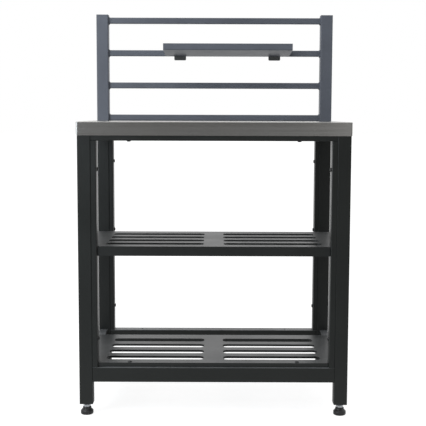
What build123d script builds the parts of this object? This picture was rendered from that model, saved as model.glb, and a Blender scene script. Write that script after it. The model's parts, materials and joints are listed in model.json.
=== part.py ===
"""Outdoor modular table: steel tube frame, steel worktop, two slotted shelves, back rack and hanging tray.

Millimetres, +Z up. The origin is on the floor under the middle of the worktop, and the front faces -Y.
"""
import os

from build123d import *

# Overall frame
frame_width = 800.0
frame_depth = 540.0
counter_height = 876.0
leg_size = 40.0
tube_wall = 1.5
tube_inner_radius = 1.5

# Worktop: a folded steel skin over a board
skin_thickness = 1.2
skin_clearance = 0.8
skin_corner_radius = 4.0
skin_edge_radius = 1.6
lip_height = 40.0
board_thickness = 14.0

# Rails that tie the legs together
top_rail_height = 40.0
bottom_rail_height = 45.0
bottom_rail_level = 102.5
side_rail_width = 30.0
shelf_rail_height = 30.0

# Channel on the inner face of each leg
front_upright_depth = 16.0
rear_upright_depth = 13.5
upright_sheet = 2.0

# Shelves
shelf_depth = 366.0
shelf_setback = 8.0
shelf_sheet = 2.0
shelf_side_inset = 2.0
shelf_notch_gap = 0.5
middle_shelf_level = 510.0
middle_shelf_lip = 28.5
lower_shelf_lip = 12.5
slot_rows = 4
slot_length = 294.0
slot_width = 41.0
slot_corner_radius = 14.0
slot_row_pitch = 77.0
slot_forward_shift = 7.0
slot_middle_strip = 60.0
slot_rim_depth = 6.5
slot_rim_wall = 1.5

# Levelling feet
leg_clearance = 34.5
stem_radius = 5.0
stem_thread_clearance = 0.05
stem_reach_in_leg = 45.0
stem_socket_floor = 8.0
stem_socket_clearance = 0.05
collar_across_flats = 19.0
collar_height = 7.0
pad_radius = 19.0
pad_top_radius = 13.5
pad_base_height = 13.0
pad_height = 22.5
pad_edge_chamfer = 1.5
foot_plate_thickness = 6.0
insert_clearance = 0.1

# Back rack
rack_height = 356.0
rack_rail_count = 4
rack_rail_height = 20.0
rack_rail_depth = 20.0
rack_rail_pitch = 109.0
post_cap_thickness = 2.0
post_cap_plug = 10.0
insert_height = 14.0
stud_radius = 4.0
stud_bore_clearance = 0.05
stud_hole_clearance = 0.5

# Hanging tray and its two hooks
tray_width = 420.0
tray_depth = 156.0
tray_sheet = 1.5
tray_lip = 21.0
tray_rise = 11.0
tray_bend_radius = 3.0
tray_offset = 43.5
hook_width = 40.0
hook_thickness = 3.0
hook_inset = 50.0
hook_running_gap = 0.3
hook_drop = 14.0
hook_back_reach = 12.0
hook_corner_radius = 4.0
hook_rail_index = 2
rivet_radius = 2.0
rivet_head_radius = 4.0
rivet_head_height = 1.5
rivet_head_chamfer = 0.8
rivet_spacing = 20.0
rivet_hole_clearance = 0.05

# Fasteners
bolt_radius = 3.0
bolt_hole_clearance = 0.25
bolt_head_radius = 6.0
bolt_head_height = 4.0
bolt_head_chamfer = 2.5
nut_across_flats = 10.0
nut_height = 5.0
nut_bore_clearance = 0.05
bolt_past_nut = 2.0
end_bolt_inset = 84.0
shelf_bolt_drop = 10.0
rail_hole_spacing = 500.0
screw_radius = 2.5
screw_hole_clearance = 0.2
screw_head_radius = 6.0
screw_head_height = 3.0
screw_head_chamfer = 1.5
screw_in_board = 8.0
spare_hole_radius = 3.5

# Places worked out from the sizes above
half_width = frame_width / 2
half_depth = frame_depth / 2
tube_corner = tube_wall + tube_inner_radius
leg_x = half_width - leg_size / 2
leg_y = half_depth - leg_size / 2
leg_inner_x = half_width - leg_size
leg_bore = leg_size - 2 * tube_wall
rail_span = frame_width - 2 * leg_size
side_span = frame_depth - 2 * leg_size
counter_width = frame_width + 2 * (skin_clearance + skin_thickness)
counter_depth = frame_depth + 2 * (skin_clearance + skin_thickness)
board_top = counter_height - skin_thickness
leg_top = board_top - board_thickness
leg_bottom = leg_clearance
top_rail_bottom = leg_top - top_rail_height
bottom_rail_top = bottom_rail_level + bottom_rail_height
upright_depths = {"front": front_upright_depth, "rear": rear_upright_depth}
upright_inner_x = {end: leg_inner_x - depth for end, depth in upright_depths.items()}
lower_shelf_level = bottom_rail_top + lower_shelf_lip
shelf_front_y = -half_depth + shelf_setback
shelf_middle_y = shelf_front_y + shelf_depth / 2
shelf_notch_x = upright_inner_x["front"] - shelf_notch_gap
shelf_notch_y = -half_depth + leg_size + shelf_notch_gap
shelf_rail_top = middle_shelf_level - middle_shelf_lip
middle_bolt_level = middle_shelf_level - shelf_bolt_drop
upper_bolt_level = top_rail_bottom - end_bolt_inset
lower_bolt_level = bottom_rail_top + end_bolt_inset
rail_hole_x = rail_hole_spacing / 2
stud_bottom = leg_top - insert_height
stud_top = counter_height + insert_height
post_top = counter_height + rack_height - post_cap_thickness
hook_reach = tray_width / 2 - hook_inset
hook_rail_bottom = counter_height + hook_rail_index * rack_rail_pitch
hook_rail_top = hook_rail_bottom + rack_rail_height
rack_rail_front = leg_y - rack_rail_depth / 2
rack_rail_back = leg_y + rack_rail_depth / 2
hook_front = rack_rail_front - hook_running_gap - hook_thickness
hook_back = rack_rail_back + hook_running_gap + hook_thickness
hook_top = hook_rail_top + hook_thickness
hook_bottom = hook_rail_bottom - hook_drop
tray_front = hook_front - tray_depth
sides = {"left": -1, "right": 1}
ends = {"front": -1, "rear": 1}


def block(low, high):
    """Box between two corners."""
    size = [b - a for a, b in zip(low, high)]
    middle = [(a + b) / 2 for a, b in zip(low, high)]
    return Pos(*middle) * Box(*size)


def tube(plane, across, height, length):
    """Round-cornered steel tube, centred on the origin, along the plane's normal."""
    outer = RectangleRounded(across, height, tube_corner)
    bore = RectangleRounded(across - 2 * tube_wall, height - 2 * tube_wall, tube_inner_radius)
    return extrude(plane * (outer - bore), amount=length / 2, both=True)


def hole_x(radius, length, x, y, z):
    """Cylinder along X for a hole or a shank."""
    return Pos(x, y, z) * Rot(0, 90, 0) * Cylinder(radius, length)


def hole_z(radius, low, high, x, y):
    """Cylinder along Z between two levels."""
    return Pos(x, y, (low + high) / 2) * Cylinder(radius, high - low)


def round_head(radius, height, bevel):
    """Low round head with a bevelled top, standing on the XY plane."""
    head = Pos(0, 0, height / 2) * Cylinder(radius, height)
    return chamfer(head.edges().sort_by(Axis.Z)[-1], bevel)


def bolt_levels():
    """Heights of the three bolts through each upright."""
    return (lower_bolt_level, middle_bolt_level, upper_bolt_level)


def bolt_seat(end, level):
    """Distance from the middle plane to the face that a bolt head seats on."""
    if end == "front" and level == middle_bolt_level:
        return shelf_notch_x - shelf_sheet
    return upright_inner_x[end]


def leg(side, end):
    """Square tube leg with holes for the upright's bolts in its inner wall."""
    x = sides[side] * leg_x
    y = ends[end] * leg_y
    shape = Pos(x, y, (leg_bottom + leg_top) / 2) * tube(Plane.XY, leg_size, leg_size, leg_top - leg_bottom)
    wall_x = sides[side] * (leg_inner_x + tube_wall / 2)
    for level in bolt_levels():
        shape -= hole_x(bolt_radius + bolt_hole_clearance, 3 * tube_wall, wall_x, y, level)
    return shape


def upright(side, end):
    """Folded channel on the inner face of a leg, open towards the leg."""
    depth = upright_depths[end]
    outside = RectangleRounded(2 * depth, leg_size, tube_corner)
    hollow = RectangleRounded(2 * (depth - upright_sheet), leg_size - 2 * upright_sheet,
                              tube_inner_radius)
    half = Pos(-depth / 2, 0) * Rectangle(depth, leg_size)
    profile = (outside - hollow) & half
    channel = extrude(profile, amount=top_rail_bottom - bottom_rail_top)
    if side == "left":
        channel = Rot(0, 0, 180) * channel
    y = ends[end] * leg_y
    channel = Pos(sides[side] * leg_inner_x, y, bottom_rail_top) * channel
    web_x = sides[side] * (upright_inner_x[end] + upright_sheet / 2)
    for level in bolt_levels():
        channel -= hole_x(bolt_radius + bolt_hole_clearance, 3 * upright_sheet, web_x, y, level)
    return channel


def cross_rail(end, level, height):
    """Tube between the two legs of the front or the rear."""
    return Pos(0, ends[end] * leg_y, level + height / 2) * tube(Plane.YZ, leg_size, height, rail_span)


def top_cross_rail(end):
    """Upper rail, bored for the two screws that hold the worktop board."""
    rail = cross_rail(end, top_rail_bottom, top_rail_height)
    for sign in (-1, 1):
        rail -= hole_z(screw_radius + screw_hole_clearance, top_rail_bottom - tube_wall,
                       leg_top + tube_wall, sign * rail_hole_x, ends[end] * leg_y)
    return rail


def bottom_cross_rail(end):
    """Lower rail with two holes in its top wall: screwed in front, spare at the rear."""
    rail = cross_rail(end, bottom_rail_level, bottom_rail_height)
    radius = screw_radius + screw_hole_clearance if end == "front" else spare_hole_radius
    for sign in (-1, 1):
        rail -= hole_z(radius, bottom_rail_top - 2 * tube_wall, bottom_rail_top + tube_wall,
                       sign * rail_hole_x, ends[end] * leg_y)
    return rail


def side_rail(side, level, height):
    """Tube between the front and the rear leg of one side, flush with their outer faces."""
    x = sides[side] * (half_width - side_rail_width / 2)
    return Pos(x, 0, level + height / 2) * tube(Plane.XZ, side_rail_width, height, side_span)


def counter_top():
    """Folded steel skin, lips down all round, pierced for the two rack studs."""
    outline = RectangleRounded(counter_width, counter_depth, skin_corner_radius)
    skin = Pos(0, 0, counter_height - lip_height) * extrude(outline, amount=lip_height)
    skin = fillet(skin.faces().sort_by(Axis.Z)[-1].edges(), skin_edge_radius)
    hollow = RectangleRounded(counter_width - 2 * skin_thickness, counter_depth - 2 * skin_thickness,
                              skin_corner_radius - skin_thickness)
    skin -= Pos(0, 0, counter_height - lip_height) * extrude(hollow, amount=lip_height - skin_thickness)
    for sign in sides.values():
        skin -= hole_z(stud_radius + stud_hole_clearance, leg_top, counter_height + skin_thickness,
                       sign * leg_x, leg_y)
    return skin


def counter_board():
    """Board under the skin, bored for the rack studs and the screws from below."""
    outline = RectangleRounded(frame_width, frame_depth, tube_corner)
    board = Pos(0, 0, leg_top) * extrude(outline, amount=board_thickness)
    for sign in sides.values():
        board -= hole_z(stud_radius + stud_hole_clearance, leg_top - skin_thickness, counter_height,
                        sign * leg_x, leg_y)
        for end in ends.values():
            board -= hole_z(screw_radius + screw_hole_clearance, leg_top - skin_thickness,
                            leg_top + screw_in_board, sign * rail_hole_x, end * leg_y)
    return board


def shelf_outline(inset):
    """Plan of a shelf, notched round the front legs and their uprights, drawn in by inset."""
    width = frame_width - 2 * shelf_side_inset
    plan = Rectangle(width - 2 * inset, shelf_depth - 2 * inset)
    notch_width = width / 2 - shelf_notch_x + inset
    notch_depth = shelf_notch_y - shelf_front_y + inset
    for sign in (-1, 1):
        notch_x = sign * (shelf_notch_x - inset + notch_width / 2)
        notch_y = shelf_front_y - shelf_middle_y + notch_depth / 2
        plan -= Pos(notch_x, notch_y) * Rectangle(notch_width, notch_depth)
    return plan


def slot_places():
    """Centres of the slots, two columns of equal rows, a little in front of the shelf's middle."""
    column = slot_middle_strip / 2 + slot_length / 2
    first = -slot_row_pitch * (slot_rows - 1) / 2 - slot_forward_shift
    return [(sign * column, first + row * slot_row_pitch) for sign in (-1, 1) for row in range(slot_rows)]


def shelf(level, lip):
    """Folded sheet shelf with rimmed slots; its lips stand on the rails."""
    body = extrude(shelf_outline(0), amount=-lip)
    body -= Pos(0, 0, -shelf_sheet) * extrude(shelf_outline(shelf_sheet), amount=-lip)
    rim = RectangleRounded(slot_length + 2 * slot_rim_wall, slot_width + 2 * slot_rim_wall,
                           slot_corner_radius + slot_rim_wall)
    opening = RectangleRounded(slot_length, slot_width, slot_corner_radius)
    places = slot_places()
    body += [Pos(x, y, 0) * extrude(rim, amount=-slot_rim_depth) for x, y in places]
    cut = extrude(opening, amount=-slot_rim_depth - 2 * shelf_sheet)
    body -= [Pos(x, y, shelf_sheet) * cut for x, y in places]
    return Pos(0, shelf_middle_y, level) * body


def middle_shelf():
    """Upper of the two shelves, bolted through its notch lips to the front uprights."""
    shape = shelf(middle_shelf_level, middle_shelf_lip)
    for sign in sides.values():
        shape -= hole_x(bolt_radius + bolt_hole_clearance, 3 * shelf_sheet,
                        sign * (shelf_notch_x - shelf_sheet / 2), -leg_y, middle_bolt_level)
    return shape


def lower_shelf():
    """Lower shelf, screwed down through its front margin to the front rail."""
    shape = shelf(lower_shelf_level, lower_shelf_lip)
    for sign in (-1, 1):
        shape -= hole_z(screw_radius + screw_hole_clearance, bottom_rail_top, lower_shelf_level + shelf_sheet,
                        sign * rail_hole_x, -leg_y)
    return shape


def square_insert(height, bore):
    """Threaded block that fits in the end of a tube, standing on the XY plane."""
    size = leg_bore - 2 * insert_clearance
    face = RectangleRounded(size, size, tube_inner_radius) - Circle(bore)
    return extrude(face, amount=height)


def foot_plate(side, end):
    """Threaded plate in the lower end of a leg."""
    plate = square_insert(foot_plate_thickness, stem_radius + stem_thread_clearance)
    return Pos(sides[side] * leg_x, ends[end] * leg_y, leg_bottom) * plate


def foot_stem(side, end):
    """Threaded stem with a hexagon collar to turn it by."""
    stem = hole_z(stem_radius, stem_socket_floor, leg_bottom + stem_reach_in_leg, 0, 0)
    hexagon = RegularPolygon(collar_across_flats / 2, 6, major_radius=False)
    stem += Pos(0, 0, pad_height) * extrude(hexagon, amount=collar_height)
    return Pos(sides[side] * leg_x, ends[end] * leg_y, 0) * stem


def foot_pad(side, end):
    """Moulded pad: a round base with a conical top and a socket for the stem."""
    base = Pos(0, 0, pad_base_height / 2) * Cylinder(pad_radius, pad_base_height)
    base = chamfer(base.edges().filter_by(GeomType.CIRCLE), pad_edge_chamfer)
    cone_height = pad_height - pad_base_height
    cone = Cone(pad_radius - pad_edge_chamfer, pad_top_radius, cone_height)
    cone = Pos(0, 0, pad_base_height + cone_height / 2) * cone
    pad = base + cone
    pad -= hole_z(stem_radius + stem_socket_clearance, stem_socket_floor, pad_height + collar_height, 0, 0)
    return Pos(sides[side] * leg_x, ends[end] * leg_y, 0) * pad


def rack_post(side):
    """Square tube post that stands on the worktop above a rear leg."""
    length = post_top - counter_height
    middle = counter_height + length / 2
    return Pos(sides[side] * leg_x, leg_y, middle) * tube(Plane.XY, leg_size, leg_size, length)


def rack_rail(index):
    """Bar between the posts, counted from the worktop up."""
    level = counter_height + index * rack_rail_pitch + rack_rail_height / 2
    return Pos(0, leg_y, level) * tube(Plane.YZ, rack_rail_depth, rack_rail_height, rail_span)


def rack_post_caps():
    """Flat caps with plugs in the upper ends of the posts."""
    top = extrude(RectangleRounded(leg_size, leg_size, tube_corner), amount=post_cap_thickness)
    size = leg_bore - 2 * insert_clearance
    plug = extrude(RectangleRounded(size, size, tube_inner_radius), amount=-post_cap_plug)
    return [Pos(sign * leg_x, leg_y, post_top) * (top + plug) for sign in sides.values()]


def rack_post_inserts():
    """Threaded blocks in the lower ends of the posts."""
    insert = square_insert(insert_height, stud_radius + stud_bore_clearance)
    return [Pos(sign * leg_x, leg_y, counter_height) * insert for sign in sides.values()]


def leg_top_inserts():
    """Threaded blocks in the upper ends of the rear legs."""
    insert = square_insert(insert_height, stud_radius + stud_bore_clearance)
    return [Pos(sign * leg_x, leg_y, leg_top - insert_height) * insert for sign in sides.values()]


def rack_studs():
    """Studs that hold the rack to the rear legs through the worktop."""
    return [hole_z(stud_radius, stud_bottom, stud_top, sign * leg_x, leg_y) for sign in sides.values()]


def tray_section(front, rear, floor, lip):
    """Side view of a tray whose floor rises to the front by the tray's rise."""
    corners = [(front, floor + tray_rise), (rear, floor)]
    corners += [(rear, floor + lip), (front, floor + tray_rise + lip)]
    return Plane.YZ * make_face(Polyline(*corners, close=True))


def hanging_tray():
    """Sheet tray with lips all round; its rear lip is upright against the hooks."""
    outer = extrude(tray_section(tray_front, hook_front, hook_rail_bottom, tray_lip),
                    amount=tray_width / 2, both=True)
    front = outer.edges().filter_by(Axis.X).group_by(Axis.Y)[0].sort_by(Axis.Z)[0]
    outer = fillet(front, tray_bend_radius)
    inner = extrude(tray_section(tray_front + tray_sheet, hook_front - tray_sheet,
                                 hook_rail_bottom + tray_sheet, 2 * tray_lip),
                    amount=tray_width / 2 - tray_sheet, both=True)
    tray = outer - inner - rivet_holes(4 * tray_sheet)
    return Pos(tray_offset, 0, 0) * tray


def rivet_holes(length):
    """Cutters for the rivets where the tray meets its hooks."""
    cutter = Rot(90, 0, 0) * Cylinder(rivet_radius + rivet_hole_clearance, length)
    return [Pos(x, hook_front, z) * cutter for x, z in rivet_places()]


def rivet_places():
    """Rivet centres on the tray's rear lip, in x from the tray's middle and z."""
    level = hook_rail_bottom + tray_lip / 2
    return [(hook * hook_reach + sign * rivet_spacing / 2, level) for hook in (-1, 1) for sign in (-1, 1)]


def tray_hook(side):
    """Strap bent over the rack bar, with a tail below it."""
    front = block((-hook_width / 2, hook_front, hook_bottom),
                  (hook_width / 2, hook_front + hook_thickness, hook_top))
    tail = front.edges().filter_by(Axis.Y).group_by(Axis.Z)[0]
    front = fillet(tail, hook_corner_radius)
    over = block((-hook_width / 2, hook_front, hook_rail_top), (hook_width / 2, hook_back, hook_top))
    back = block((-hook_width / 2, hook_back - hook_thickness, hook_rail_top - hook_back_reach),
                 (hook_width / 2, hook_back, hook_top))
    strap = front + over + back
    strap = Pos(sides[side] * hook_reach, 0, 0) * strap
    strap -= rivet_holes(4 * hook_thickness)
    return Pos(tray_offset, 0, 0) * strap


def tray_rivets():
    """Round-headed rivets through the tray's rear lip and the hooks."""
    head = round_head(rivet_head_radius, rivet_head_height, rivet_head_chamfer)
    shank_length = tray_sheet + hook_thickness
    shank = Pos(0, 0, -shank_length / 2) * Cylinder(rivet_radius, shank_length)
    rivet = Rot(90, 0, 0) * (head + shank)
    return [Pos(tray_offset + x, hook_front - tray_sheet, z) * rivet for x, z in rivet_places()]


def upright_bolts():
    """Round-headed bolts that hold the uprights, and the middle shelf, to the legs."""
    bolts = []
    head = round_head(bolt_head_radius, bolt_head_height, bolt_head_chamfer)
    tip = leg_inner_x + tube_wall + nut_height + bolt_past_nut
    for side, sign in sides.items():
        for end, way in ends.items():
            for level in bolt_levels():
                seat = bolt_seat(end, level)
                shank = Pos(0, 0, (seat - tip) / 2) * Cylinder(bolt_radius, tip - seat)
                bolt = Rot(0, -90 * sign, 0) * (head + shank)
                bolts.append(Pos(sign * seat, way * leg_y, level) * bolt)
    return bolts


def upright_nuts():
    """Hexagon nuts of those bolts, inside the legs."""
    hexagon = RegularPolygon(nut_across_flats / 2, 6, major_radius=False)
    face = hexagon - Circle(bolt_radius + nut_bore_clearance)
    nut = Rot(0, 90, 0) * extrude(face, amount=nut_height / 2, both=True)
    x = leg_inner_x + tube_wall + nut_height / 2
    return [Pos(sign * x, way * leg_y, level) * nut
            for sign in sides.values() for way in ends.values() for level in bolt_levels()]


def screw(length):
    """Round-headed screw, head up, its head standing on the XY plane."""
    head = round_head(screw_head_radius, screw_head_height, screw_head_chamfer)
    return head + Pos(0, 0, -length / 2) * Cylinder(screw_radius, length)


def counter_screws():
    """Screws from under the top rails into the worktop board."""
    fixing = Rot(180, 0, 0) * screw(top_rail_height + screw_in_board)
    return [Pos(sign * rail_hole_x, way * leg_y, top_rail_bottom) * fixing
            for sign in (-1, 1) for way in ends.values()]


def lower_shelf_screws():
    """Screws that hold the lower shelf down on the front rail."""
    fixing = screw(lower_shelf_lip + 2 * tube_wall)
    return [Pos(sign * rail_hole_x, -leg_y, lower_shelf_level) * fixing for sign in (-1, 1)]


def all_nodes():
    """Every piece of the table, by name."""
    nodes = {
        "counter_top": counter_top(),
        "counter_board": counter_board(),
        "middle_shelf": middle_shelf(),
        "lower_shelf": lower_shelf(),
    }
    for end in ends:
        nodes[f"{end}_top_rail"] = top_cross_rail(end)
        nodes[f"{end}_bottom_rail"] = bottom_cross_rail(end)
        for side in sides:
            corner = f"{end}_{side}"
            nodes[f"{corner}_leg"] = leg(side, end)
            nodes[f"{corner}_upright"] = upright(side, end)
            nodes[f"{corner}_foot_plate"] = foot_plate(side, end)
            nodes[f"{corner}_foot_stem"] = foot_stem(side, end)
            nodes[f"{corner}_foot_pad"] = foot_pad(side, end)
    for side in sides:
        nodes[f"{side}_top_rail"] = side_rail(side, top_rail_bottom, top_rail_height)
        nodes[f"{side}_bottom_rail"] = side_rail(side, bottom_rail_level, bottom_rail_height)
        nodes[f"{side}_shelf_rail"] = side_rail(side, shelf_rail_top - shelf_rail_height, shelf_rail_height)
        nodes[f"{side}_rack_post"] = rack_post(side)
        nodes[f"{side}_tray_hook"] = tray_hook(side)
    for index in range(rack_rail_count):
        nodes[f"rack_rail_{index + 1}"] = rack_rail(index)
    nodes["hanging_tray"] = hanging_tray()
    groups = (rack_post_caps, rack_post_inserts, leg_top_inserts, rack_studs, tray_rivets,
              upright_bolts, upright_nuts, counter_screws, lower_shelf_screws)
    for group in groups:
        nodes[group.__name__] = Compound(children=group())
    return nodes


os.makedirs("parts", exist_ok=True)
for name, shape in all_nodes().items():
    export_step(shape, f"parts/{name}.step")
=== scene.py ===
"""Outdoor modular table: finishes, feet, fasteners, welds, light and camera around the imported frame."""
import json
import math

import bmesh
import bpy
from mathutils import Euler, Matrix, Vector


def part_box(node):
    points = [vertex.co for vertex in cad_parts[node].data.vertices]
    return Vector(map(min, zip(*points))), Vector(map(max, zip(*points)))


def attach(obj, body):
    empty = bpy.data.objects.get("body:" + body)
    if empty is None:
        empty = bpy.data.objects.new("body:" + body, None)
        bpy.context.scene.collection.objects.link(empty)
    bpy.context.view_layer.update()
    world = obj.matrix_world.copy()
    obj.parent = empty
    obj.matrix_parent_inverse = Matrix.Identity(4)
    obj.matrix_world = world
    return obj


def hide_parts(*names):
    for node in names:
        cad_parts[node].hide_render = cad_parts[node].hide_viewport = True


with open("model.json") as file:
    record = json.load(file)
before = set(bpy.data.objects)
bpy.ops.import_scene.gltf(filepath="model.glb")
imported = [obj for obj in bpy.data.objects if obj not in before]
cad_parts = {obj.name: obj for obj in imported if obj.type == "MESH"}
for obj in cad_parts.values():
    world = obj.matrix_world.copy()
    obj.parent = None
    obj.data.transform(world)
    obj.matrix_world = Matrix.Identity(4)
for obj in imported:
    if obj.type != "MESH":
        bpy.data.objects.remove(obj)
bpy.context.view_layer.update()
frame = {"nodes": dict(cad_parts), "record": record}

CORNERS = ("front_left", "front_right", "rear_left", "rear_right")
RACK_BARS = 4
X, Y, Z = range(3)

# Camera, from edges of the table in the photograph, in metres and degrees
CAMERA_PLACE = (0.0, -3.0755, 0.900)
CAMERA_DOWN = 5.891
CAMERA_LEFT = 0.056
CAMERA_ROLL = 0.183
CAMERA_LENS_MM = 81.39
SENSOR_MM = 36.0

# Levelling feet, in metres and degrees
STEM_RADIUS = 0.005
STEM_PARTS = 24
STEM_SHARP_ANGLE = 40
THREAD_DEPTH = 0.0006
THREAD_PITCH = 0.0015
THREAD_POINTS_PER_TURN = 20
THREAD_SECTION_POINTS = 4
COLLAR_SIDES = 6
COLLAR_TURN = 30
COLLAR_HEIGHT = 0.007
COLLAR_BEVEL = 0.0005
COLLAR_BEVEL_STEPS = 2
COLLAR_BEVEL_FULLNESS = 0.6
PAD_PARTS = 48
PAD_BASE_HEIGHT = 0.013
PAD_NECK_RADIUS = 0.0128
PAD_NECK_LEVEL = 0.0165
PAD_NECK_EDGE = 0.0010
PAD_SOCKET_RADIUS = 0.00505
PAD_SOCKET_FLOOR = 0.008
PAD_HEEL = 0.0040
PAD_SHOULDER = 0.0025
PAD_SLOPE = 62
PAD_EDGE_STEPS = 4

# Heads of the fasteners, in metres, with shares of the head's radius or height
BOLT_HEAD_HEIGHT = 0.004
BOLT_SOCKET_RADIUS = 0.0023
BOLT_SOCKET_DEPTH = 0.0022
SCREW_HEAD_HEIGHT = 0.003
SCREW_CROSS_RADIUS = 0.0032
SCREW_CROSS_WAIST = 0.0011
SCREW_CROSS_DEPTH = 0.0018
SCREW_CROSS_SHARPNESS = 3
RIVET_HEAD_HEIGHT = 0.0015
HEAD_PARTS = 24
HEAD_RIM_SHARE = 0.3
DRIVEN_HEAD_FLAT_SHARE = 0.55
RIVET_HEAD_FLAT_SHARE = 0.25
SHANK_SHARE = 0.5
DOME_RINGS = 4
DOME_FULLNESS = 1.6
SHARP_ANGLE = 35
MERGE_DISTANCE = 1e-6

# Weld beads where the rails end, in metres
FRAME_WELD_RADIUS = 0.0019
RACK_WELD_RADIUS = 0.0030
WELD_RIPPLE = 0.0028
WELD_RIPPLE_DEPTH = 0.16
WELD_STEP = 0.0009
WELD_PARTS = 8

# Colours, linear
CHARCOAL_DARK = (0.0054, 0.0072, 0.0061, 1)
CHARCOAL_LIGHT = (0.0076, 0.0097, 0.0084, 1)
SHELF_DARK = (0.0080, 0.0096, 0.0090, 1)
SHELF_LIGHT = (0.0112, 0.0132, 0.0125, 1)
SLATE_DARK = (0.0950, 0.1055, 0.1280, 1)
SLATE_LIGHT = (0.1190, 0.1315, 0.1580, 1)
HOOK_DARK = (0.0780, 0.0800, 0.0790, 1)
HOOK_LIGHT = (0.0980, 0.1010, 0.1000, 1)
STEEL_WARM = (0.4250, 0.4130, 0.3880, 1)
STEEL_COOL = (0.5250, 0.5220, 0.5080, 1)
BLACK_ZINC_DARK = (0.0120, 0.0120, 0.0125, 1)
BLACK_ZINC_LIGHT = (0.0220, 0.0220, 0.0230, 1)
ZINC_PALE = (0.6600, 0.6800, 0.7000, 1)
ZINC_GREY = (0.5000, 0.5200, 0.5400, 1)
PLASTIC_DARK = (0.0140, 0.0140, 0.0143, 1)
PLASTIC_LIGHT = (0.0220, 0.0220, 0.0224, 1)
BOARD_DARK = (0.0700, 0.0520, 0.0380, 1)
BOARD_LIGHT = (0.1300, 0.1000, 0.0740, 1)
# Pale tint of dust and painted sheen: lightens faces that look up, standing in for the light they catch
DUST_AND_SHEEN_TINT = (0.2450, 0.2540, 0.2650, 1)
WHITE = (1, 1, 1, 1)

# Shared effects: noises, and how one noise is scaled to or mixed with another
NOISE_MIDDLE = {"From Min": 0.3, "From Max": 0.7}
GRAIN_NOISE = {"Detail": 2.0, "Roughness": 0.55}
PEEL_NOISE = {"Detail": 1.0}
PEEL_TO_GRAIN = 0.3
GRAIN_SHARE = 0.4
PATCH_NOISE = {"Detail": 3.0, "Roughness": 0.6}
SCRATCH_NOISE = {"Scale": 1.0, "Detail": 3.0}
STREAK_NOISE = {"Scale": 1.0, "Detail": 4.0, "Roughness": 0.65}
STREAK_TO_SCRATCH = (0.5, 0.16, 0.16)
# Patches and upward slope of the dust and painted sheen
DUST_AND_SHEEN_NOISE = {"Scale": 14.0, "Detail": 6.0, "Roughness": 0.7}
DUST_AND_SHEEN_SLOPE = {"From Min": 0.4, "From Max": 0.95}

# Finishes: scales of their effects, lowest and highest roughness, and bump distance and strength
COAT_TEXTURE = {"Grain": 700.0, "Patch": 5.0}
COAT_GLOSS_BELOW = 0.04
COAT_GLOSS_ABOVE = 0.05
COAT_RELIEF = (0.0004, 0.25)
STEEL_LINES = {"Along": 3.0, "Across": 1300.0}
STEEL_CLOUDS = {"Grain": 700.0, "Patch": 6.0}
STEEL_STREAK_SHARE = 0.55
STEEL_GLOSS = (0.21, 0.25)
STEEL_RELIEF = (0.0002, 0.16)
ZINC_TEXTURE = {"Grain": 1500.0, "Patch": 90.0}
ZINC_GLOSS = (0.26, 0.42)
ZINC_RELIEF = (0.0001, 0.2)
PLASTIC_TEXTURE = {"Grain": 1800.0, "Patch": 60.0}
PLASTIC_GLOSS = (0.25, 0.35)
PLASTIC_RELIEF = (0.0002, 0.35)
BOARD_FIBRES = {"Along": 60.0, "Across": 420.0}
BOARD_GLOSS = (0.6, 0.75)
BOARD_RELIEF = (0.0003, 0.4)

# Studio floor: size in metres, brightness to the eye, paint, and levels in reflections by distance
FLOOR_RADIUS = 40
FLOOR_PARTS = 64
FLOOR_DROP = 0.0005
FLOOR_LEVEL = 0.84
FLOOR_PAINT = (0.40, 0.40, 0.40, 1)
FAR_FLOOR = (1.5, 4.5)
FAR_FLOOR_LEVEL = 0.42
NEAR_FLOOR = (-1.2, -0.4)
NEAR_FLOOR_LEVEL = 0.30

# Studio room: levels as light, and the stretches of direction in which one passes to the next
ROOM_FRONT = 0.09
ROOM_FRONT_HIGH = 0.65
ROOM_FRONT_RISE = (0.1, 0.4)
ROOM_BEHIND = 0.91
ROOM_BEHIND_TURN = (-0.2, 0.7)
ROOM_OVERHEAD = 0.9
ROOM_OVERHEAD_RISE = (0.55, 0.95)

# Lamps: metres, watts, and a colour where the light isn't plain white
COOL_DAYLIGHT = (0.92, 1.0, 1.10)
PLAIN_LIGHT = (1, 1, 1)
LAMPS = {
    "left_key": {"place": (-1.6, -1.6, 1.3), "aim": (-0.2, 0, 0.9), "size": (1.3, 1.3), "power": 21,
                 "colour": COOL_DAYLIGHT},
    "right_rim": {"place": (3.0, -0.6, 1.0), "aim": (0.3, 0, 0.8), "size": (0.8, 1.6), "power": 4},
    "right_card": {"place": (1.05, -3.4, 0.9), "aim": (0.4, 0, 0.85), "size": (0.35, 1.2), "power": 0.7},
    "front_strip": {"place": (-1.5, -1.5, 2.6), "aim": (-0.2, -0.2, 0.5), "size": (3.0, 0.8), "power": 22},
}

# Socket types of node groups, and places of the sockets in a mix of colours
VALUE = "NodeSocketFloat"
VECTOR = "NodeSocketVector"
GEOMETRY = "NodeSocketGeometry"
MATERIAL = "NodeSocketMaterial"
OBJECT = "NodeSocketObject"
MIX_SHARE = 0
MIX_A = 6
MIX_B = 7
MIX_RESULT = 2


def add(tree, kind, settings=None, values=None):
    """New node in a tree, with its settings and input values."""
    node = tree.nodes.new(kind)
    for key, value in (settings or {}).items():
        setattr(node, key, value)
    for key, value in (values or {}).items():
        node.inputs[key].default_value = value
    return node


def calc(tree, operation, values=None):
    """New arithmetic node."""
    return add(tree, "ShaderNodeMath", {"operation": operation}, values)


def soft_step(tree, stretch, low=0.0, high=1.0):
    """New node that goes smoothly from a low to a high level along a stretch."""
    return add(tree, "ShaderNodeMapRange", {"interpolation_type": "SMOOTHSTEP"},
               {"From Min": stretch[0], "From Max": stretch[1], "To Min": low, "To Max": high})


def wire(tree, *links):
    """Links, each from one node's output to another node's input."""
    for source, output, target, socket in links:
        tree.links.new(source.outputs[output], target.inputs[socket])


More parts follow.
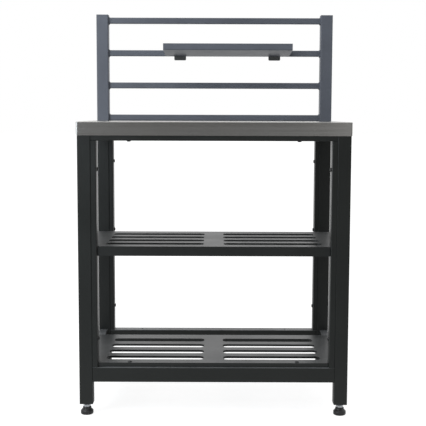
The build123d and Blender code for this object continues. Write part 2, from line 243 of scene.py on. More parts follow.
def group_tree(name, kind, inputs, outputs):
    """Empty node group; an input is given as label, socket type and, where it has one, start value."""
    tree = bpy.data.node_groups.new(name, kind)
    for label, socket_type, *start in inputs:
        socket = tree.interface.new_socket(name=label, in_out="INPUT", socket_type=socket_type)
        if start:
            socket.default_value = start[0]
    for label, socket_type in outputs:
        tree.interface.new_socket(name=label, in_out="OUTPUT", socket_type=socket_type)
    return tree, tree.nodes.new("NodeGroupInput"), tree.nodes.new("NodeGroupOutput")


def coat_grain_group():
    """Orange-peel height and slow shade patches of a powder coat."""
    inputs = (("Position", VECTOR), ("Grain", VALUE), ("Patch", VALUE))
    outputs = (("Height", VALUE), ("Shade", VALUE))
    tree, start, end = group_tree("coat_grain", "ShaderNodeTree", inputs, outputs)
    fine = add(tree, "ShaderNodeTexNoise", values=GRAIN_NOISE)
    peel_scale = calc(tree, "MULTIPLY", {1: PEEL_TO_GRAIN})
    peel = add(tree, "ShaderNodeTexNoise", values=PEEL_NOISE)
    height = add(tree, "ShaderNodeMix", {"data_type": "FLOAT"}, {"Factor": GRAIN_SHARE})
    patch = add(tree, "ShaderNodeTexNoise", values=PATCH_NOISE)
    shade = add(tree, "ShaderNodeMapRange", values=NOISE_MIDDLE)
    wire(tree,
         (start, "Position", fine, "Vector"),
         (start, "Position", peel, "Vector"),
         (start, "Position", patch, "Vector"),
         (start, "Grain", fine, "Scale"),
         (start, "Grain", peel_scale, 0),
         (peel_scale, 0, peel, "Scale"),
         (start, "Patch", patch, "Scale"),
         (peel, 0, height, "A"),
         (fine, 0, height, "B"),
         (height, "Result", end, "Height"),
         (patch, 0, shade, "Value"),
         (shade, "Result", end, "Shade"))
    return tree


def brushed_lines_group():
    """Long scratches along X, as fine height and as broader light and dark streaks."""
    inputs = (("Position", VECTOR), ("Along", VALUE), ("Across", VALUE))
    outputs = (("Height", VALUE), ("Streak", VALUE))
    tree, start, end = group_tree("brushed_lines", "ShaderNodeTree", inputs, outputs)
    stretch = add(tree, "ShaderNodeCombineXYZ")
    scratch_place = add(tree, "ShaderNodeVectorMath", {"operation": "MULTIPLY"})
    scratch = add(tree, "ShaderNodeTexNoise", values=SCRATCH_NOISE)
    streak_place = add(tree, "ShaderNodeVectorMath", {"operation": "MULTIPLY"}, {1: STREAK_TO_SCRATCH})
    streak = add(tree, "ShaderNodeTexNoise", values=STREAK_NOISE)
    spread = add(tree, "ShaderNodeMapRange", values=NOISE_MIDDLE)
    wire(tree,
         (start, "Along", stretch, "X"),
         (start, "Across", stretch, "Y"),
         (start, "Across", stretch, "Z"),
         (start, "Position", scratch_place, 0),
         (stretch, 0, scratch_place, 1),
         (scratch_place, 0, scratch, "Vector"),
         (scratch_place, 0, streak_place, 0),
         (streak_place, 0, streak, "Vector"),
         (scratch, 0, end, "Height"),
         (streak, 0, spread, "Value"),
         (spread, "Result", end, "Streak"))
    return tree


def dust_and_top_sheen_group():
    """Mask of thin uneven dust and painted sheen: faces that look up get lighter, as if lit from above."""
    inputs = (("Position", VECTOR), ("Normal", VECTOR), ("Amount", VALUE))
    tree, start, end = group_tree("dust_and_top_sheen", "ShaderNodeTree", inputs, (("Mask", VALUE),))
    parts = add(tree, "ShaderNodeSeparateXYZ")
    upward = add(tree, "ShaderNodeMapRange", values=DUST_AND_SHEEN_SLOPE)
    cloud = add(tree, "ShaderNodeTexNoise", values=DUST_AND_SHEEN_NOISE)
    patchy = calc(tree, "MULTIPLY")
    scaled = calc(tree, "MULTIPLY")
    wire(tree,
         (start, "Normal", parts, 0),
         (parts, "Z", upward, "Value"),
         (start, "Position", cloud, "Vector"),
         (upward, "Result", patchy, 0),
         (cloud, 0, patchy, 1),
         (patchy, 0, scaled, 0),
         (start, "Amount", scaled, 1),
         (scaled, 0, end, "Mask"))
    return tree


COAT_GRAIN = coat_grain_group()
BRUSHED_LINES = brushed_lines_group()
DUST_AND_TOP_SHEEN = dust_and_top_sheen_group()


def place_group(tree, group, position, values):
    """A shared effect in a material, on the piece's own coordinates."""
    node = add(tree, "ShaderNodeGroup", {"node_tree": group}, values)
    wire(tree, (position, "Object", node, "Position"))
    return node


def blank_finish(name):
    """New material with its tree, shader and Object coordinates."""
    material = bpy.data.materials.new(name)
    material.use_nodes = True
    tree = material.node_tree
    shader = next(node for node in tree.nodes if node.type == "BSDF_PRINCIPLED")
    return material, tree, shader, tree.nodes.new("ShaderNodeTexCoord")


def two_tone(tree, dark, light, source, output):
    """Colour that runs from dark to light with a mask."""
    mix = add(tree, "ShaderNodeMix", {"data_type": "RGBA"}, {MIX_A: dark, MIX_B: light})
    wire(tree, (source, output, mix, MIX_SHARE))
    return mix


def dress(tree, shader, colour, mask, gloss, height, relief):
    """Colour, roughness by a mask and bump by a height; mask and height are a node and its output."""
    rough = add(tree, "ShaderNodeMapRange", values={"To Min": gloss[0], "To Max": gloss[1]})
    bump = add(tree, "ShaderNodeBump", values={"Distance": relief[0], "Strength": relief[1]})
    wire(tree,
         (colour, MIX_RESULT, shader, "Base Color"),
         (*mask, rough, "Value"),
         (rough, "Result", shader, "Roughness"),
         (*height, bump, "Height"),
         (bump, "Normal", shader, "Normal"))


def powder_coat(name, dark, light, roughness, dust_and_sheen):
    """Satin powder coat: grain, slow patches, and a pale tint of dust and painted sheen on faces that look
    up.
    """
    material, tree, shader, position = blank_finish(name)
    grain = place_group(tree, COAT_GRAIN, position, COAT_TEXTURE)
    dust_and_sheen_mask = place_group(tree, DUST_AND_TOP_SHEEN, position, {"Amount": dust_and_sheen})
    facing = tree.nodes.new("ShaderNodeNewGeometry")
    coat = two_tone(tree, dark, light, grain, "Shade")
    # Faces that look up take the pale dust and painted sheen tint
    top = add(tree, "ShaderNodeMix", {"data_type": "RGBA"}, {MIX_B: DUST_AND_SHEEN_TINT})
    wire(tree,
         (facing, "Normal", dust_and_sheen_mask, "Normal"),
         (coat, MIX_RESULT, top, MIX_A),
         (dust_and_sheen_mask, "Mask", top, MIX_SHARE))
    gloss = (roughness - COAT_GLOSS_BELOW, roughness + COAT_GLOSS_ABOVE)
    dress(tree, shader, top, (grain, "Shade"), gloss, (grain, "Height"), COAT_RELIEF)
    return material


def brushed_steel():
    """Worktop sheet, brushed along its length."""
    material, tree, shader, position = blank_finish("brushed_worktop_steel")
    lines = place_group(tree, BRUSHED_LINES, position, STEEL_LINES)
    clouds = place_group(tree, COAT_GRAIN, position, STEEL_CLOUDS)
    shade = add(tree, "ShaderNodeMix", {"data_type": "FLOAT"}, {"Factor": STEEL_STREAK_SHARE})
    wire(tree, (clouds, "Shade", shade, "A"), (lines, "Streak", shade, "B"))
    tone = two_tone(tree, STEEL_WARM, STEEL_COOL, shade, "Result")
    shader.inputs["Metallic"].default_value = 1.0
    dress(tree, shader, tone, (lines, "Streak"), STEEL_GLOSS, (lines, "Height"), STEEL_RELIEF)
    return material


def one_effect_finish(name, group, texture, mask, tones, gloss, relief, metallic=0.0):
    """Finish of one shared effect, which gives its two tones, gloss and relief."""
    material, tree, shader, position = blank_finish(name)
    effect = place_group(tree, group, position, texture)
    tone = two_tone(tree, *tones, effect, mask)
    shader.inputs["Metallic"].default_value = metallic
    dress(tree, shader, tone, (effect, mask), gloss, (effect, "Height"), relief)
    return material


def zinc_plate():
    """Zinc plating of stems and inner fasteners, cloudy and a little dull."""
    return one_effect_finish("zinc_plating", COAT_GRAIN, ZINC_TEXTURE, "Shade",
                             (ZINC_GREY, ZINC_PALE), ZINC_GLOSS, ZINC_RELIEF, metallic=1.0)


def moulded_plastic():
    """Black moulded plastic of the foot pads, with a spark-eroded grain."""
    return one_effect_finish("foot_pad_plastic", COAT_GRAIN, PLASTIC_TEXTURE, "Shade",
                             (PLASTIC_DARK, PLASTIC_LIGHT), PLASTIC_GLOSS, PLASTIC_RELIEF)


def board_panel():
    """Sealed board under the worktop, with pressed fibres along its length."""
    return one_effect_finish("worktop_board", BRUSHED_LINES, BOARD_FIBRES, "Streak",
                             (BOARD_DARK, BOARD_LIGHT), BOARD_GLOSS, BOARD_RELIEF)


FINISHES = {
    # Each coat's last value is its share of dust and painted sheen on faces that look up
    "frame_coat": powder_coat("charcoal_frame_coat", CHARCOAL_DARK, CHARCOAL_LIGHT,
                              roughness=0.40, dust_and_sheen=0.85),
    "shelf_coat": powder_coat("charcoal_shelf_coat", SHELF_DARK, SHELF_LIGHT,
                              roughness=0.37, dust_and_sheen=0.24),
    "rack_coat": powder_coat("slate_rack_coat", SLATE_DARK, SLATE_LIGHT,
                             roughness=0.44, dust_and_sheen=0.10),
    "hook_coat": powder_coat("black_hook_coat", HOOK_DARK, HOOK_LIGHT,
                             roughness=0.48, dust_and_sheen=0.06),
    "brushed_top": brushed_steel(),
    "board": board_panel(),
    "black_zinc": powder_coat("black_zinc_plating", BLACK_ZINC_DARK, BLACK_ZINC_LIGHT,
                              roughness=0.34, dust_and_sheen=0.04),
    "zinc": zinc_plate(),
    "foot_plastic": moulded_plastic(),
}


def paint_frame():
    """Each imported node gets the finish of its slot."""
    for row in frame["record"]["subparts"]:
        mesh = frame["nodes"][row["node"]].data
        mesh.materials.clear()
        mesh.materials.append(FINISHES[row["material_slot"]])


def body_of_node(node):
    """Body that carries a node."""
    bodies = frame["record"]["behaviour"]["bodies"]
    return next(body for body, members in bodies.items() if node in members)


def solid_boxes(node):
    """Lowest and highest corner of each separate solid in a node that is a group."""
    mesh = bmesh.new()
    mesh.from_mesh(frame["nodes"][node].data)
    bmesh.ops.remove_doubles(mesh, verts=mesh.verts, dist=MERGE_DISTANCE)
    left = set(mesh.verts)
    boxes = []
    while left:
        waiting = [left.pop()]
        found = list(waiting)
        while waiting:
            for edge in waiting.pop().link_edges:
                for corner in edge.verts:
                    if corner in left:
                        left.remove(corner)
                        waiting.append(corner)
                        found.append(corner)
        low = Vector(min(v.co[axis] for v in found) for axis in (X, Y, Z))
        high = Vector(max(v.co[axis] for v in found) for axis in (X, Y, Z))
        boxes.append((low, high))
    mesh.free()
    return sorted(boxes, key=lambda box: tuple(box[0]))


def smooth(data, angle=SHARP_ANGLE):
    """Smooth shading with edges kept sharp above an angle in degrees."""
    data.polygons.foreach_set("use_smooth", [True] * len(data.polygons))
    data.set_sharp_from_angle(angle=math.radians(angle))
    return data


def turned_mesh(name, rings, parts):
    """Closed mesh through rings of (radius by angle, height), first and last ring capped."""
    mesh = bmesh.new()
    loops = []
    for radius_at, height in rings:
        loop = []
        for part in range(parts):
            angle = 2 * math.pi * part / parts
            radius = radius_at(angle)
            loop.append(mesh.verts.new((radius * math.cos(angle), radius * math.sin(angle), height)))
        loops.append(loop)
    for low, high in zip(loops, loops[1:]):
        for part in range(parts):
            after = (part + 1) % parts
            mesh.faces.new((low[part], low[after], high[after], high[part]))
    mesh.faces.new(reversed(loops[0]))
    mesh.faces.new(loops[-1])
    bmesh.ops.recalc_face_normals(mesh, faces=mesh.faces)
    data = bpy.data.meshes.new(name)
    mesh.to_mesh(data)
    mesh.free()
    return smooth(data)


def round_ring(radius):
    """Circle as a radius by angle."""
    return lambda angle: radius


def hex_ring(radius):
    """Hexagon of a given half width across flats."""
    sixth = math.pi / 3
    return lambda angle: radius / math.cos((angle % sixth) - sixth / 2)


def cross_ring(reach, waist):
    """Four-armed recess with narrow waists between the arms."""
    return lambda angle: waist + (reach - waist) * abs(math.cos(2 * angle)) ** SCREW_CROSS_SHARPNESS


def fastener_mesh(name, radius, height, shank, recess, depth):
    """Domed head on a shank, head up, its seat at zero; recess is a ring function or None."""
    shank_ring = round_ring(radius * SHANK_SHARE)
    rings = [(shank_ring, -shank), (shank_ring, 0), (round_ring(radius), 0)]
    flat = DRIVEN_HEAD_FLAT_SHARE if recess else RIVET_HEAD_FLAT_SHARE
    for step in range(DOME_RINGS + 1):
        share = step / DOME_RINGS
        ring_radius = radius * (1 - (1 - flat) * share ** DOME_FULLNESS)
        rise = HEAD_RIM_SHARE + (1 - HEAD_RIM_SHARE) * math.sin(share * math.pi / 2)
        rings.append((round_ring(ring_radius), height * rise))
    if recess:
        rings.append((recess, height))
        rings.append((recess, height - depth))
    return turned_mesh(name, rings, HEAD_PARTS)


def end_in_finish(tree, start, end, last, output):
    """End of a Geometry Nodes tree: one real mesh in the material of its Finish input."""
    real = tree.nodes.new("GeometryNodeRealizeInstances")
    coated = tree.nodes.new("GeometryNodeSetMaterial")
    wire(tree,
         (last, output, real, "Geometry"),
         (real, "Geometry", coated, "Geometry"),
         (start, "Finish", coated, "Material"),
         (coated, "Geometry", end, "Geometry"))


def fasteners_tree():
    """Copies of one fastener on points, turned by their own attribute."""
    inputs = (("Points", GEOMETRY), ("Fastener", OBJECT), ("Finish", MATERIAL))
    outputs = (("Geometry", GEOMETRY),)
    tree, start, end = group_tree("fasteners_on_seats", "GeometryNodeTree", inputs, outputs)
    shape = add(tree, "GeometryNodeObjectInfo", {"transform_space": "ORIGINAL"})
    turn = add(tree, "GeometryNodeInputNamedAttribute", {"data_type": "FLOAT_VECTOR"}, {"Name": "turn"})
    rotation = tree.nodes.new("FunctionNodeEulerToRotation")
    copies = tree.nodes.new("GeometryNodeInstanceOnPoints")
    wire(tree,
         (start, "Points", copies, "Points"),
         (start, "Fastener", shape, "Object"),
         (shape, "Geometry", copies, "Instance"),
         (turn, "Attribute", rotation, "Euler"),
         (rotation, "Rotation", copies, "Rotation"))
    end_in_finish(tree, start, end, copies, "Instances")
    return tree


def foot_stem_tree():
    """Threaded stem: a core, one helical ridge and the hexagon collar."""
    inputs = (("Collar", GEOMETRY), ("Radius", VALUE, STEM_RADIUS), ("Depth", VALUE, THREAD_DEPTH),
              ("Pitch", VALUE, THREAD_PITCH), ("Length", VALUE), ("Finish", MATERIAL))
    outputs = (("Geometry", GEOMETRY),)
    tree, start, end = group_tree("threaded_stem", "GeometryNodeTree", inputs, outputs)
    turns = calc(tree, "DIVIDE")
    core_radius = calc(tree, "SUBTRACT")
    ridge = add(tree, "GeometryNodeCurveSpiral", values={"Resolution": THREAD_POINTS_PER_TURN})
    ridge_section = add(tree, "GeometryNodeCurvePrimitiveCircle", {"mode": "RADIUS"},
                        {"Resolution": THREAD_SECTION_POINTS})
    thread = add(tree, "GeometryNodeCurveToMesh", values={"Fill Caps": True})
    core = add(tree, "GeometryNodeMeshCylinder", values={"Vertices": STEM_PARTS})
    half = calc(tree, "MULTIPLY", {1: 0.5})
    lift = tree.nodes.new("ShaderNodeCombineXYZ")
    raised = tree.nodes.new("GeometryNodeTransform")
    whole = tree.nodes.new("GeometryNodeJoinGeometry")
    wire(tree,
         (start, "Length", turns, 0),
         (start, "Pitch", turns, 1),
         (start, "Radius", core_radius, 0),
         (start, "Depth", core_radius, 1),
         (turns, 0, ridge, "Rotations"),
         (core_radius, 0, ridge, "Start Radius"),
         (core_radius, 0, ridge, "End Radius"),
         (start, "Length", ridge, "Height"),
         (start, "Depth", ridge_section, "Radius"),
         (ridge, "Curve", thread, "Curve"),
         (ridge_section, "Curve", thread, "Profile Curve"),
         (core_radius, 0, core, "Radius"),
         (start, "Length", core, "Depth"),
         (start, "Length", half, 0),
         (half, 0, lift, "Z"),
         (core, "Mesh", raised, "Geometry"),
         (lift, 0, raised, "Translation"),
         (start, "Collar", whole, "Geometry"),
         (thread, "Mesh", whole, "Geometry"),
         (raised, "Geometry", whole, "Geometry"))
    end_in_finish(tree, start, end, whole, "Geometry")
    return tree


def weld_tree():
    """Rippled bead along the edges of a path mesh."""
    inputs = (("Path", GEOMETRY), ("Radius", VALUE, FRAME_WELD_RADIUS), ("Ripple", VALUE, WELD_RIPPLE),
              ("Depth", VALUE, WELD_RIPPLE_DEPTH), ("Step", VALUE, WELD_STEP), ("Finish", MATERIAL))
    outputs = (("Geometry", GEOMETRY),)
    tree, start, end = group_tree("weld_bead", "GeometryNodeTree", inputs, outputs)
    path = tree.nodes.new("GeometryNodeMeshToCurve")
    fine = add(tree, "GeometryNodeResampleCurve", {"mode": "LENGTH"})
    along = tree.nodes.new("GeometryNodeSplineParameter")
    turns = calc(tree, "DIVIDE")
    phase = calc(tree, "MULTIPLY", {1: 2 * math.pi})
    wave = calc(tree, "SINE")
    swell = calc(tree, "MULTIPLY")
    scale = calc(tree, "ADD", {1: 1.0})
    section = add(tree, "GeometryNodeCurvePrimitiveCircle", {"mode": "RADIUS"}, {"Resolution": WELD_PARTS})
    bead = add(tree, "GeometryNodeCurveToMesh", values={"Fill Caps": True})
    soft = tree.nodes.new("GeometryNodeSetShadeSmooth")
    wire(tree,
         (start, "Path", path, "Mesh"),
         (path, "Curve", fine, "Curve"),
         (start, "Step", fine, "Length"),
         (along, "Length", turns, 0),
         (start, "Ripple", turns, 1),
         (turns, 0, phase, 0),
         (phase, 0, wave, 0),
         (wave, 0, swell, 0),
         (start, "Depth", swell, 1),
         (swell, 0, scale, 0),
         (start, "Radius", section, "Radius"),
         (fine, "Curve", bead, "Curve"),
         (section, "Curve", bead, "Profile Curve"),
         (scale, 0, bead, "Scale"),
         (bead, "Mesh", soft, "Geometry"))
    end_in_finish(tree, start, end, soft, "Geometry")
    return tree


def socket_id(tree, label):
    """Identifier of a tree's named input."""
    return next(item.identifier for item in tree.interface.items_tree
                if item.item_type == "SOCKET" and item.in_out == "INPUT" and item.name == label)


def grown_mesh(name, data, tree, values):
    """Plain mesh that a Geometry Nodes tree makes from a start mesh."""
    holder = bpy.data.objects.new(name + "_start", data)
    bpy.context.scene.collection.objects.link(holder)
    modifier = holder.modifiers.new("nodes", "NODES")
    modifier.node_group = tree
    for label, value in values.items():
        modifier[socket_id(tree, label)] = value
    bpy.context.view_layer.update()
    graph = bpy.context.evaluated_depsgraph_get()
    mesh = bpy.data.meshes.new_from_object(holder.evaluated_get(graph), depsgraph=graph)
    mesh.name = name
    bpy.data.objects.remove(holder)
    return mesh


def piece(name, mesh, body, nodes):
    """Finished piece that rides on a body and stands for its CAD nodes."""
    shown = bpy.data.objects.new(name, mesh)
    bpy.context.scene.collection.objects.link(shown)
    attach(shown, body)
    if nodes:
        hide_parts(*nodes)


def seat_points(name, seats):
    """Mesh of points with the turn of each fastener, from (place, direction its head faces)."""
    data = bpy.data.meshes.new(name)
    data.from_pydata([place for place, facing in seats], [], [])
    turn = data.attributes.new("turn", "FLOAT_VECTOR", "POINT")
    for index, (place, facing) in enumerate(seats):
        turn.data[index].vector = facing.to_track_quat("Z", "Y").to_euler()
    return data


def fastener_group(node, tree, slot, axis, head_side, head_height, recess=None, depth=0):
    """All fasteners of one node; head_side tells from a solid's middle which way its head faces."""
    seats = []
    boxes = solid_boxes(node)
    for low, high in boxes:
        middle = (low + high) / 2
        sign = head_side(middle)
        facing = Vector((0, 0, 0))
        facing[axis] = sign
        place = middle.copy()
        place[axis] = (high if sign > 0 else low)[axis] - sign * head_height
        seats.append((place, facing))
    low, high = boxes[0]
    head_radius = min(high[across] - low[across] for across in (X, Y, Z) if across != axis) / 2
    longest = max(high[axis] - low[axis] for low, high in boxes)
    shape = fastener_mesh(node + "_shape", head_radius, head_height, longest - head_height, recess, depth)
    pattern = bpy.data.objects.new(node + "_pattern", shape)
    bpy.context.scene.collection.objects.link(pattern)
    mesh = grown_mesh(node + "_set", seat_points(node + "_seats", seats), tree,
                      {"Fastener": pattern, "Finish": FINISHES[slot]})
    bpy.data.objects.remove(pattern)
    piece(node + "_set", mesh, body_of_node(node), [node])


def make_fasteners():
    """Bolts, screws and rivets with their drives, in place of the plain ones."""
    tree = fasteners_tree()
    hexagon = hex_ring(BOLT_SOCKET_RADIUS)
    cross = cross_ring(SCREW_CROSS_RADIUS, SCREW_CROSS_WAIST)
    fastener_group("upright_bolts", tree, "black_zinc", X, lambda middle: -math.copysign(1, middle.x),
                   BOLT_HEAD_HEIGHT, hexagon, BOLT_SOCKET_DEPTH)
    fastener_group("counter_screws", tree, "black_zinc", Z, lambda middle: -1,
                   SCREW_HEAD_HEIGHT, cross, SCREW_CROSS_DEPTH)
    fastener_group("lower_shelf_screws", tree, "black_zinc", Z, lambda middle: 1,
                   SCREW_HEAD_HEIGHT, cross, SCREW_CROSS_DEPTH)
    fastener_group("tray_rivets", tree, "rack_coat", Y, lambda middle: -1, RIVET_HEAD_HEIGHT)


def foot_place(low, high):
    """Move from the origin to the middle of a foot's box, at its lower end."""
    return Matrix.Translation(((low.x + high.x) / 2, (low.y + high.y) / 2, low.z))


def collar_mesh(across, low, high):
    """Hexagon collar with bevelled edges."""
    mesh = bmesh.new()
    radius = across / math.sqrt(3)
    bmesh.ops.create_cone(mesh, cap_ends=True, segments=COLLAR_SIDES, radius1=radius, radius2=radius,
                          depth=high - low)
    turn = Matrix.Rotation(math.radians(COLLAR_TURN), 3, "Z")
    bmesh.ops.rotate(mesh, verts=mesh.verts, matrix=turn)
    bmesh.ops.translate(mesh, verts=mesh.verts, vec=(0, 0, (low + high) / 2))
    bmesh.ops.bevel(mesh, geom=mesh.edges, offset=COLLAR_BEVEL, segments=COLLAR_BEVEL_STEPS,
                    affect="EDGES", profile=COLLAR_BEVEL_FULLNESS)
    data = bpy.data.meshes.new("collar_shape")
    mesh.to_mesh(data)
    mesh.free()
    return data


def foot_stem(corner, tree):
    """Stem of one foot with a cut thread, at the CAD stem's place."""
    node = f"{corner}_foot_stem"
    low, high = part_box(node)
    pad_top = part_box(f"{corner}_foot_pad")[1].z
    across = high.y - low.y
    collar = collar_mesh(across, pad_top - low.z, pad_top - low.z + COLLAR_HEIGHT)
    values = {"Length": high.z - low.z, "Finish": FINISHES["zinc"]}
    mesh = grown_mesh(f"{corner}_threaded_stem", collar, tree, values)
    mesh.transform(foot_place(low, high))
    smooth(mesh, STEM_SHARP_ANGLE)
    piece(f"{corner}_threaded_stem", mesh, body_of_node(node), [node])


def arc(centre, radius, first, last):
    """Points of a rounded edge between two angles in degrees."""
    turn = (last - first) / PAD_EDGE_STEPS
    angles = [math.radians(first + turn * step) for step in range(PAD_EDGE_STEPS + 1)]
    return [(centre[0] + radius * math.cos(angle), centre[1] + radius * math.sin(angle))
            for angle in angles]


def pad_rings(radius, height):
    """Outline of a pad from its underside up: heel, shoulder, neck, and down into the socket."""
    neck_foot = (PAD_NECK_RADIUS + PAD_SHOULDER, PAD_NECK_LEVEL + PAD_SHOULDER)
    neck_edge = (PAD_NECK_RADIUS - PAD_NECK_EDGE, height - PAD_NECK_EDGE)
    points = [(radius - 2 * PAD_HEEL, 0)]
    points += arc((radius - PAD_HEEL, PAD_HEEL), PAD_HEEL, -90, 0)
    points += arc((radius - PAD_SHOULDER, PAD_BASE_HEIGHT - PAD_SHOULDER), PAD_SHOULDER, 0, PAD_SLOPE)
    points += arc(neck_foot, PAD_SHOULDER, 180 + PAD_SLOPE, 180)
    points += arc(neck_edge, PAD_NECK_EDGE, 0, 90)
    points += [(PAD_SOCKET_RADIUS, height), (PAD_SOCKET_RADIUS, PAD_SOCKET_FLOOR)]
    return [(round_ring(ring_radius), level) for ring_radius, level in points]


def foot_pad(corner):
    """Moulded pad of one foot with a neck and rounded edges, at the CAD pad's place."""
    node = f"{corner}_foot_pad"
    low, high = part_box(node)
    rings = pad_rings((high.x - low.x) / 2, high.z - low.z)
    mesh = turned_mesh(f"{corner}_moulded_pad", rings, PAD_PARTS)
    mesh.transform(foot_place(low, high))
    mesh.materials.append(FINISHES["foot_plastic"])
    piece(f"{corner}_moulded_pad", mesh, body_of_node(node), [node])


def make_feet():
    """Threaded stems and moulded pads of the four feet."""
    tree = foot_stem_tree()
    for corner in CORNERS:
        foot_stem(corner, tree)
        foot_pad(corner)


def weld_paths(name, lines):
    """Mesh of open paths for the beads."""
    points = []
    edges = []
    for line in lines:
        first = len(points)
        points += line
        edges += [(first + step, first + step + 1) for step in range(len(line) - 1)]
    data = bpy.data.meshes.new(name)
    data.from_pydata(points, edges, [])
    return data


def rack_weld_lines():
    """Round each end of each rack bar, where it meets a post; the lowest bar lies on the worktop."""
    lines = []
    for bar in range(1, RACK_BARS + 1):
        low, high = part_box(f"rack_rail_{bar}")
        for x in (low.x, high.x):
            lines.append([(x, low.y, low.z), (x, low.y, high.z), (x, high.y, high.z), (x, high.y, low.z)])
            if bar > 1:
                lines.append([(x, high.y, low.z), (x, low.y, low.z)])
    return lines


def frame_weld_lines():
    """Under the ends of the bottom rails, and on the free sides of the rails from front to rear leg."""
    keep_back = 2 * FRAME_WELD_RADIUS
    lines = []
    for end in ("front", "rear"):
        low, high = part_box(f"{end}_bottom_rail")
        for x in (low.x, high.x):
            lines.append([(x, low.y + keep_back, low.z), (x, high.y - keep_back, low.z)])
    for side in ("left", "right"):
        for level in ("bottom", "shelf", "top"):
            low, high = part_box(f"{side}_{level}_rail")
            inner, outer = (high.x, low.x + keep_back) if side == "left" else (low.x, high.x - keep_back)
            for y in (low.y, high.y):
                line = [(outer, y, low.z), (inner, y, low.z), (inner, y, high.z), (outer, y, high.z)]
                lines.append(line[:3] if level == "top" else line)
    return lines


def make_welds():
    """Beads of the rack in its own coat, and of the frame in the frame's coat."""
    tree = weld_tree()
    for name, lines, radius, slot in (
            ("rack_welds", rack_weld_lines(), RACK_WELD_RADIUS, "rack_coat"),
            ("frame_welds", frame_weld_lines(), FRAME_WELD_RADIUS, "frame_coat")):
        values = {"Radius": radius, "Finish": FINISHES[slot]}
        mesh = grown_mesh(name, weld_paths(name + "_path", lines), tree, values)
        piece(name, mesh, "frame", [])


def floor_paint():
    """Pale paint, white to the eye but for the shadow; in reflections brighter near and far behind."""
    material = bpy.data.materials.new("studio_floor_paint")
    material.use_nodes = True
    tree = material.node_tree
    tree.nodes.clear()
    output = tree.nodes.new("ShaderNodeOutputMaterial")
    path = tree.nodes.new("ShaderNodeLightPath")
    place = tree.nodes.new("ShaderNodeTexCoord")
    parts = tree.nodes.new("ShaderNodeSeparateXYZ")
    far = soft_step(tree, FAR_FLOOR, high=FAR_FLOOR_LEVEL)
    near = soft_step(tree, NEAR_FLOOR, high=NEAR_FLOOR_LEVEL)
    pale = calc(tree, "ADD")
    mirrored = calc(tree, "MULTIPLY")
    seen = calc(tree, "MAXIMUM")
    shown = calc(tree, "MULTIPLY", {1: FLOOR_LEVEL})
    level = calc(tree, "ADD")
    glow = add(tree, "ShaderNodeEmission", values={"Color": WHITE})
    paint = add(tree, "ShaderNodeBsdfDiffuse", values={"Color": FLOOR_PAINT})
    both = tree.nodes.new("ShaderNodeAddShader")
    wire(tree,
         (place, "Object", parts, 0),
         (parts, "Y", far, "Value"),
         (parts, "Y", near, "Value"),
         (far, "Result", pale, 0),
         (near, "Result", pale, 1),
         (pale, 0, mirrored, 0),
         (path, "Is Glossy Ray", mirrored, 1),
         (path, "Is Camera Ray", seen, 0),
         (path, "Is Transmission Ray", seen, 1),
         (seen, 0, shown, 0),
         (shown, 0, level, 0),
         (mirrored, 0, level, 1),
         (level, 0, glow, "Strength"),
         (glow, 0, both, 0),
         (paint, 0, both, 1),
         (both, 0, output, "Surface"))
    return material


def studio_floor():
    """Wide pale floor under the feet."""
    mesh = bmesh.new()
    bmesh.ops.create_circle(mesh, cap_ends=True, segments=FLOOR_PARTS, radius=FLOOR_RADIUS)
    data = bpy.data.meshes.new("studio_floor")
    mesh.to_mesh(data)
    mesh.free()
    data.materials.append(floor_paint())
    floor = bpy.data.objects.new("studio_floor", data)
    floor.location.z = -FLOOR_DROP
    bpy.context.scene.collection.objects.link(floor)


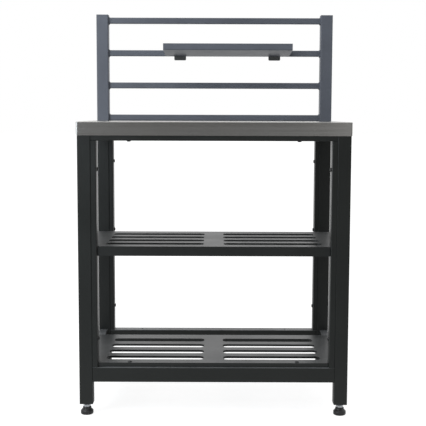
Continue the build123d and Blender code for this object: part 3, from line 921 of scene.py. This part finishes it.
def studio_world():
    """White surroundings to the eye; as light, bright behind and overhead, dim low down in front."""
    world = bpy.data.worlds.new("studio_room")
    bpy.context.scene.world = world
    world.use_nodes = True
    tree = world.node_tree
    tree.nodes.clear()
    output = tree.nodes.new("ShaderNodeOutputWorld")
    place = tree.nodes.new("ShaderNodeTexCoord")
    parts = tree.nodes.new("ShaderNodeSeparateXYZ")
    front = soft_step(tree, ROOM_FRONT_RISE, ROOM_FRONT, ROOM_FRONT_HIGH)
    behind = soft_step(tree, ROOM_BEHIND_TURN)
    walls = add(tree, "ShaderNodeMix", {"data_type": "FLOAT"}, {"B": ROOM_BEHIND})
    overhead = soft_step(tree, ROOM_OVERHEAD_RISE, high=ROOM_OVERHEAD)
    light = calc(tree, "MAXIMUM")
    path = tree.nodes.new("ShaderNodeLightPath")
    seen = calc(tree, "MAXIMUM")
    level = add(tree, "ShaderNodeMix", {"data_type": "FLOAT"}, {"B": 1.0})
    room = add(tree, "ShaderNodeBackground", values={"Color": WHITE})
    wire(tree,
         (place, "Generated", parts, 0),
         (parts, "Y", behind, "Value"),
         (parts, "Z", front, "Value"),
         (parts, "Z", overhead, "Value"),
         (behind, "Result", walls, "Factor"),
         (front, "Result", walls, "A"),
         (walls, "Result", light, 0),
         (overhead, "Result", light, 1),
         (path, "Is Camera Ray", seen, 0),
         (path, "Is Transmission Ray", seen, 1),
         (seen, 0, level, "Factor"),
         (light, 0, level, "A"),
         (level, "Result", room, "Strength"),
         (room, 0, output, "Surface"))


def softbox(name, place, aim, size, power, colour=PLAIN_LIGHT):
    """Large lamp of a width and height, turned towards a point and not seen itself."""
    lamp = bpy.data.lights.new(name, "AREA")
    lamp.shape = "RECTANGLE"
    lamp.size, lamp.size_y = size
    lamp.energy = power
    lamp.color = colour
    holder = bpy.data.objects.new(name, lamp)
    holder.location = place
    holder.visible_camera = False
    holder.rotation_euler = (Vector(aim) - Vector(place)).to_track_quat("-Z", "Y").to_euler()
    bpy.context.scene.collection.objects.link(holder)


def studio_camera():
    """Camera at the photograph's place and angle."""
    data = bpy.data.cameras.new("photo_camera")
    data.sensor_width = SENSOR_MM
    data.lens = CAMERA_LENS_MM
    holder = bpy.data.objects.new("photo_camera", data)
    level = Euler((math.radians(90 - CAMERA_DOWN), 0, math.radians(CAMERA_LEFT))).to_matrix()
    roll = Matrix.Rotation(math.radians(CAMERA_ROLL), 3, "Z")
    holder.rotation_euler = (level @ roll).to_euler()
    holder.location = CAMERA_PLACE
    bpy.context.scene.collection.objects.link(holder)
    bpy.context.scene.camera = holder


paint_frame()
make_fasteners()
make_feet()
make_welds()
studio_floor()
studio_world()
for lamp_name, lamp_values in LAMPS.items():
    softbox(lamp_name, **lamp_values)
studio_camera()
bpy.context.scene.view_settings.view_transform = "Standard"
